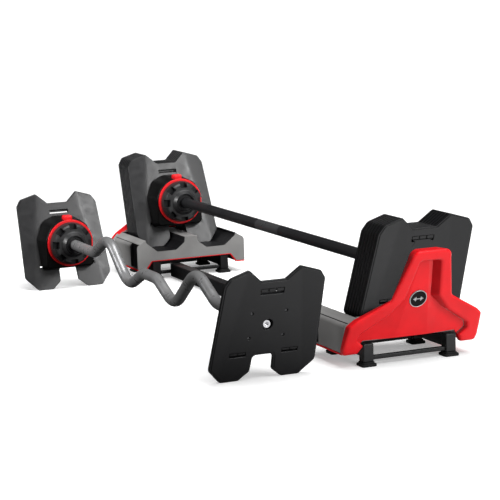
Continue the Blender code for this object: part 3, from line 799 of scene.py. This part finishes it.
def tub_mesh():
    """The grey tub with its two black wells, a rib between them, and a recessed band in each side painted
    black as painted shade.
    """
    half = [(0.1380, 0.1170), (0.1500, 0.1090), (TUB_HALF_W, 0.1010), (TUB_HALF_W, TUB_FOOT_Z),
            (TUB_FOOT_Y + 0.001, TUB_FOOT_Z), (TUB_FOOT_Y - 0.017, TUB_BELLY_Z)]
    radii = [0.006, 0.012, 0.014, 0.003, 0.003, 0.0]
    outline = mirrored(half, radii, 6)
    body = prism(outline, lambda z: TUB_INNER_X, wall_outer_x)
    band_start, band_end = TUB_INNER_X + 0.004, TUB_INNER_X + 0.058
    hollow = box((TUB_INNER_X + 0.008, -0.112, 0.040), (0.012, 0.112, 0.0745))
    cuts = [hollow]
    for side in (-1, 1):
        cuts.append(prism(trough_outline(side), lambda z: TUB_INNER_X - 0.010, wall_inner_x))
        y0, y1 = sorted((side * (TUB_HALF_W - 0.0070), side * (TUB_HALF_W + 0.0100)))
        cuts.append(box((band_start, y0, TUB_FOOT_Z + 0.0040), (band_end, y1, 0.1300)))
    body = shaded(cut(body, cuts), 0.0014, 3, 40)
    body.materials.append(GREY_LOOK)
    body.materials.append(WELLS_AND_SHADE_LOOK)
    # The wells are black; the black on each side's recessed band is painted shade.
    for face in body.polygons:
        x, y, z = face.center
        reach = abs(y)
        between_ends = TUB_INNER_X + 0.0008 < x < plate_face_x(z) + 0.0016
        in_well = between_ends and 0.0180 < reach < 0.1405 and z > DECK_Z - 0.0006
        shaded_band_x = band_start - 0.0008 < x < band_end + 0.0008 and z > 0.0368
        shaded_band_yz = reach > 0.1585 or z > 0.100 and reach > 0.1405
        if in_well or shaded_band_x and shaded_band_yz and reach < TUB_HALF_W - 0.0004:
            face.material_index = 1
    return body


def cover_outline():
    """The cover's rim as one band: down the outside of each leg and up along the recess."""
    half = [(0.046, 0.2690), (0.0505, 0.2450), (0.0765, 0.1540), (0.1530, 0.1120),
            (0.1670, 0.1000), (0.1690, 0.0780), (0.1710, 0.0460), (0.1680, 0.0300),
            (0.1310, 0.0300), (0.1211, 0.0491), (0.1390, 0.0660), (0.1340, 0.0800),
            (0.0720, 0.1200), (0.0420, 0.1560), (0.0255, 0.2440)]
    radii = [0.020, 0.010, 0.014, 0.012, 0.010, 0.0, 0.008, 0.008, 0.008, 0.002,
             0.006, 0.008, 0.010, 0.014, 0.008]
    return mirrored(half, radii)


def cover_rim_mesh():
    """The cover's thick rounded rim, open where the recess is, and grey low on its sides."""
    thick = 0.100
    body = slab([cover_outline()], 0.0, thick, 0.0070, 6)

    def lean(point):
        x, y, z = point
        if x > thick / 2:
            return Vector((cover_front_x(z) + x - thick, y, z))
        narrowing = 0.80 if z > 0.125 else 1.0
        return Vector((cover_back_x(z) + x, y * narrowing, z))

    rim = shaded(moved(body, lean), smooth_angle=38)
    rim.materials.append(RED_LOOK)
    rim.materials.append(GREY_LOOK)
    for face in rim.polygons:
        x, y, z = face.center
        if x < cover_front_x(z) - 0.016 and z < 0.128 and abs(y) > 0.100:
            face.material_index = 1
    return rim


PLATEAU_CUTS = (-0.0016, -0.0006, 0.0006, 0.0016, 0.004, 0.009, 0.014, 0.020, 0.030, 0.045, 0.060)


def cover_panel_mesh():
    """The recess's floor, with its raised middle."""
    half = [(0.0300, 0.2500), (0.0480, 0.1580), (0.0780, 0.1240), (0.1390, 0.0850),
            (0.1440, 0.0650), (0.1250, 0.0485), (0.1165, 0.0590)]
    radii = [0.002, 0.004, 0.004, 0.004, 0.002, 0.001, 0.001]
    body = slab([mirrored(half, radii, 2)], 0.0, PANEL_T)
    lines = []
    for side in (-1, 1):
        for offset in PLATEAU_CUTS:
            lines.append(((side * (plateau_y(0.1) + offset), 0.1), (side, PLATEAU_SLOPE)))

    def lean(point):
        x, y, z = point
        if x < 0.001:
            return Vector((cover_back_x(z) + 0.0002, y, z))
        outside = abs(y) - plateau_y(z)
        reach = max(0.010, 0.040 - plateau_y(z) + max(0.0, 0.150 - z) * 0.75)
        drop = min(1.0, max(0.0, outside) / reach)
        return Vector((recess_floor_x(z) + PLATEAU_H * (1.0 - drop), y, z))

    return shaded(moved(creased(body, lines), lean), smooth_angle=25)


def cover_trim_mesh():
    """Red strips along the tub's lower edges, and a red band across its inner end."""
    top = TUB_FOOT_Z - GAP
    outer_y, step_z, belly_z = TUB_FOOT_Y + 0.0043, top - 0.0024, TUB_BELLY_Z - GAP
    strips = []
    for side in (-1, 1):
        y0, y1 = sorted((side * (TUB_FOOT_Y + 0.004), side * (TUB_HALF_W + 0.0005)))
        strips.append(shaded(box((TUB_INNER_X, y0, top - 0.0035), (0.0360, y1, top)), 0.0008, 2))
    half = [(TUB_FOOT_Y - 0.0174, belly_z), (TUB_FOOT_Y + 0.0002, top), (outer_y, top),
            (outer_y, step_z), (TUB_FOOT_Y - 0.0018, step_z), (TUB_FOOT_Y - 0.0190, TUB_BELLY_Z - 0.0026)]
    outline = half + [(-y, z) for y, z in reversed(half)]
    band = prism(outline, lambda z: TUB_INNER_X, lambda z: TUB_INNER_X + 0.006)
    strips.append(shaded(band, 0.0006, 2))
    return merged(strips)


def badge_matrix():
    """The badge's middle, facing along the recess's lean."""
    foot = recess_floor_x(BADGE_Z) + PLATEAU_H + GAP
    return Matrix.Translation((foot, 0, BADGE_Z)) @ Matrix.Rotation(math.atan(PLATE_LEAN), 4, "Y")


def badge_disc_mesh():
    edge = BADGE_R - 0.0019
    corners = [(0.0, 0.0004), (0.0, edge), (0.0020, edge), (0.0017, edge - 0.0006), (0.0017, 0.0004)]
    return shaded(turned(corners, 64), smooth_angle=30)


def badge_ring_mesh():
    corners = [(0.0, BADGE_R - 0.0018), (0.0, BADGE_R), (0.0024, BADGE_R), (0.0024, BADGE_R - 0.0018)]
    return shaded(turned(fillet(corners, [0.0, 0.0, 0.0007, 0.0007], 3), 96), smooth_angle=40)


def badge_mark_mesh():
    """A plain sign of a loaded bar."""
    bits = [box((0.0016, -0.0125, -0.0009), (0.0021, 0.0125, 0.0009))]
    for side in (-1, 1):
        for middle, tall in ((0.0062, 0.0052), (0.0086, 0.0036)):
            y0, y1 = sorted((side * (middle - 0.0008), side * (middle + 0.0008)))
            bits.append(box((0.0016, y0, -tall), (0.0022, y1, tall)))
    return merged([shaded(bit, 0.0002, 2) for bit in bits])


def frame_mesh():
    """The black sled: four square legs, side rails and cross rails."""
    top = TUB_BELLY_Z - 0.0045
    leg, side_rail, cross_rail = 0.0125, 0.0085, 0.006      # half widths
    bars = []
    for x in LEG_XS:
        for y in (-LEG_Y, LEG_Y):
            bars.append(shaded(box((x - leg, y - leg, 0.0103), (x + leg, y + leg, top)), 0.0022, 3))
    for y in (-LEG_Y, LEG_Y):
        rail = box((LEG_XS[0], y - side_rail, 0.020), (LEG_XS[1], y + side_rail, 0.046))
        bars.append(shaded(rail, 0.0018, 3))
    for x in LEG_XS:
        rail = box((x - cross_rail, -LEG_Y, 0.013), (x + cross_rail, LEG_Y, 0.022))
        bars.append(shaded(rail, 0.0014, 3))
    return merged(bars)


def pad_mesh(x, y):
    """A rubber foot: a square pad with rounded corners under a narrower neck."""
    half = 0.0185
    outline = fillet([(-half, -half), (half, -half), (half, half), (-half, half)], [0.006] * 4, 5)
    base = slab([outline], 0.0, 0.0062, 0.0012, 3)
    neck = slab([[(a * 0.80, b * 0.80) for a, b in outline]], 0.0058, 0.0100, 0.0008, 2)
    both = merged([shaded(base), shaded(neck)])
    return moved(both, lambda p: Vector((x + p.z, y + p.y, p.x)))


# ----------------------------------------------------------------- assembly
SMOOTH_HALF = 0.0700        # half the length of the straight bar's smooth middle


def build_ends():
    fixed, loose, screw = plate_mesh(True), plate_mesh(False), screw_mesh()
    housing, button, spring = housing_mesh(), button_mesh(), spring_mesh()
    dial, ring, shaft = dial_mesh(), ring_mesh(), shaft_mesh()
    for prefix, body in (("", "barbell"), ("curl_", "curl_barbell")):
        for name, side in SIDES.items():
            end = prefix + name
            pivot = PIVOTS[end + "_dial"]
            place = end_matrix(pivot, side)
            piece(end + "_plate", fixed, place, PLATE_LOOK, body, [end + "_fixed_plate"])
            piece(end + "_gearbox", housing, place, BLACK_LOOK, body, [end + "_housing"])
            coil = piece(end + "_coil", spring, place, STEEL_LOOK, body,
                         [end + "_button_spring"])
            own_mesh(coil)
            piece(end + "_button_cap", button, place, RED_LOOK, end + "_button",
                  [end + "_lock_button"])
            piece(end + "_knob", dial, place, None, end + "_dial", [end + "_dial"])
            piece(end + "_knob_ring", ring, place, RED_LOOK, end + "_dial",
                  [end + "_dial_ring"])
            piece(end + "_shaft_rod", shaft, place, STEEL_LOOK, end + "_shaft",
                  [end + "_selector_shaft"])
            for number, (y, z) in enumerate(SCREW_SPOTS, start=1):
                spot = Matrix.Translation((PLATE_T - 0.0050 + PLATE_LEAN * z, y, z))
                piece(f"{end}_screw_{number}", screw, place @ spot, SCREW_LOOK, body)
    for name, side in SIDES.items():
        place = end_matrix(PIVOTS[name + "_dial"], side)
        for number in range(1, LOOSE_PLATES + 1):
            spot = place @ Matrix.Translation((number * PLATE_PITCH, 0, 0))
            piece(f"{name}_weight_{number}", loose, spot, PLATE_LOOK, f"plate_pair_{number}",
                  [f"{name}_loose_plate_{number}"])


def build_bars():
    reach = HALF_SPAN + BAR_END_X
    knurled = [(-0.416, -0.0715), (0.0715, 0.416)]
    straight = swept_bar([(-reach, 0), (0, 0), (reach, 0)], 64, knurled, (-0.31, 0.31))
    straight.materials.append(BAR_LOOK)
    straight.materials.append(SMOOTH_LOOK)
    for face in straight.polygons:
        if abs(face.center.x) < SMOOTH_HALF:
            face.material_index = 1
    middle = (PIVOTS["left_dial"] + PIVOTS["right_dial"]) / 2
    piece("long_bar", straight, Matrix.Translation(middle), BAR_LOOK, "barbell",
          ["straight_bar"])
    curl = swept_bar(curl_path(), 64, [(-0.315, -0.200), (0.200, 0.315)])
    middle = (PIVOTS["curl_left_dial"] + PIVOTS["curl_right_dial"]) / 2
    piece("cambered_bar", curl, Matrix.Translation(middle), CURL_LOOK, "curl_barbell",
          ["curl_bar"])


def build_cradles():
    tub, sled = tub_mesh(), frame_mesh()
    rim, panel, trim = cover_rim_mesh(), cover_panel_mesh(), cover_trim_mesh()
    disc, badge_ring, mark = badge_disc_mesh(), badge_ring_mesh(), badge_mark_mesh()
    spots = [(x, y) for x in LEG_XS for y in (-LEG_Y, LEG_Y)]
    for name, side in SIDES.items():
        place = end_matrix((side * HALF_SPAN, STRAIGHT_Y, 0), side)
        on_badge = place @ badge_matrix()
        piece(name + "_tray", tub, place, None, "cradles", [name + "_tub"])
        # The bright red rim and panel would tint the grey tub and the black plates beside them.
        for part, mesh, stands_for in (("rim", rim, [name + "_end_cover"]), ("panel", panel, ())):
            red = piece(f"{name}_cover_{part}", mesh, place, RED_LOOK, "cradles",
                        stands_for)
            red.visible_diffuse = False
            red.visible_glossy = False
        piece(name + "_cover_trim", trim, place, RED_LOOK, "cradles")
        piece(name + "_badge_disc", disc, on_badge, BLACK_LOOK, "cradles",
              [name + "_badge"])
        piece(name + "_badge_ring", badge_ring, on_badge, SILVER_LOOK, "cradles")
        piece(name + "_badge_mark", mark, on_badge, SILVER_LOOK, "cradles")
        piece(name + "_sled", sled, place, FRAME_LOOK, "cradles", [name + "_frame"])
        for number, (x, y) in enumerate(spots, start=1):
            piece(f"{name}_foot_{number}", pad_mesh(x, y), place, RUBBER_LOOK, "cradles",
                  [f"{name}_foot_pad_{number}"])
    low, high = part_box("link_rail")
    rail = shaded(box(low, high), 0.0025, 3)
    piece("rail", rail, Matrix.Identity(4), FRAME_LOOK, "cradles", ["link_rail"])


# -------------------------------------------------------------------- stage
def floor_material():
    """White to the camera. To everything else it is bright towards +X +Y and dark elsewhere."""
    made = bpy.data.materials.new("studio_floor")
    made.use_nodes = True
    nodes, links = made.node_tree.nodes, made.node_tree.links
    nodes.remove(nodes["Principled BSDF"])
    white = nodes.new("ShaderNodeBsdfDiffuse")
    white.inputs["Color"].default_value = (0.92, 0.92, 0.92, 1)
    lift = nodes.new("ShaderNodeEmission")
    lift.inputs["Strength"].default_value = 0.30
    seen = nodes.new("ShaderNodeAddShader")
    links.new(white.outputs["BSDF"], seen.inputs[0])
    links.new(lift.outputs["Emission"], seen.inputs[1])
    dim = nodes.new("ShaderNodeBsdfDiffuse")
    place = nodes.new("ShaderNodeVectorMath")
    place.operation = "DOT_PRODUCT"
    place.inputs[1].default_value = (1.0, 0.9, 0.0)
    links.new(nodes.new("ShaderNodeNewGeometry").outputs["Position"], place.inputs[0])
    ramp = nodes.new("ShaderNodeMapRange")
    ramp.inputs["From Min"].default_value = 0.35
    ramp.inputs["From Max"].default_value = 1.10
    ramp.inputs["To Min"].default_value = 0.03
    ramp.inputs["To Max"].default_value = 0.85
    links.new(place.outputs["Value"], ramp.inputs["Value"])
    links.new(ramp.outputs["Result"], dim.inputs["Color"])
    choose = nodes.new("ShaderNodeMixShader")
    links.new(nodes.new("ShaderNodeLightPath").outputs["Is Camera Ray"], choose.inputs["Fac"])
    links.new(dim.outputs["BSDF"], choose.inputs[1])
    links.new(seen.outputs["Shader"], choose.inputs[2])
    links.new(choose.outputs["Shader"], nodes["Material Output"].inputs["Surface"])
    return made


def build_stage():
    bm = bmesh.new()
    bmesh.ops.create_circle(bm, cap_ends=True, segments=64, radius=80.0)
    floor = linked("floor", mesh_from(bm, "floor"))
    floor.data.materials.append(floor_material())

    world = bpy.data.worlds.new("studio")
    bpy.context.scene.world = world
    world.use_nodes = True
    nodes, links = world.node_tree.nodes, world.node_tree.links
    background = nodes["Background"]
    background.inputs["Color"].default_value = (1, 1, 1, 1)
    seen = nodes.new("ShaderNodeLightPath").outputs["Is Camera Ray"]
    strength = nodes.new("ShaderNodeMapRange")
    strength.inputs["To Min"].default_value = 0.05
    strength.inputs["To Max"].default_value = 1.0
    links.new(seen, strength.inputs["Value"])
    links.new(strength.outputs["Result"], background.inputs["Strength"])


def aim(obj, towards):
    obj.rotation_euler = (Vector(towards) - obj.location).to_track_quat("-Z", "Y").to_euler()


def softbox(name, place, towards, size, spread, energy):
    light = bpy.data.lights.new(name, "AREA")
    light.shape = "RECTANGLE"
    light.size, light.size_y = size
    light.spread = math.radians(spread)
    light.energy = energy
    lamp = linked(name, light)
    lamp.location = place
    aim(lamp, towards)


def build_lights():
    top = bpy.data.lights.new("top", "SUN")
    top.energy = 2.8
    top.angle = math.radians(50)
    lamp = linked("top", top)
    lamp.location = (1.2, 0.6, 4.0)
    aim(lamp, (0, 0, 0))
    softbox("far_key", (1.9, 1.9, 2.3), (-0.72, 0.0, 0.20), (1.3, 1.0), 30, 2.6)
    softbox("front", (4.2, 0.9, 1.5), (-0.2, 0.0, 0.15), (1.8, 1.8), 180, 68)
    softbox("left", (-1.0, -3.2, 1.6), (-0.6, -0.1, 0.15), (1.6, 1.2), 40, 7)


def build_camera():
    """The viewpoint and the framing, with plain colours."""
    data = bpy.data.cameras.new("camera")
    data.sensor_width = 36.0
    data.lens = 132.62
    data.shift_x = -0.0045
    data.shift_y = -0.0171
    camera = linked("camera", data)
    right = Vector((0.4026, 0.9149, -0.0303))
    up = Vector((-0.1285, 0.0892, 0.9877))
    back = Vector((0.9063, -0.3938, 0.1534))
    turn = Matrix((right, up, back)).transposed()
    camera.matrix_world = Matrix.Translation((4.3282, -1.7744, 0.9120)) @ turn.to_4x4()
    bpy.context.scene.camera = camera
    bpy.context.scene.view_settings.view_transform = "Standard"


build_ends()
build_bars()
build_cradles()
build_stage()
build_lights()
build_camera()
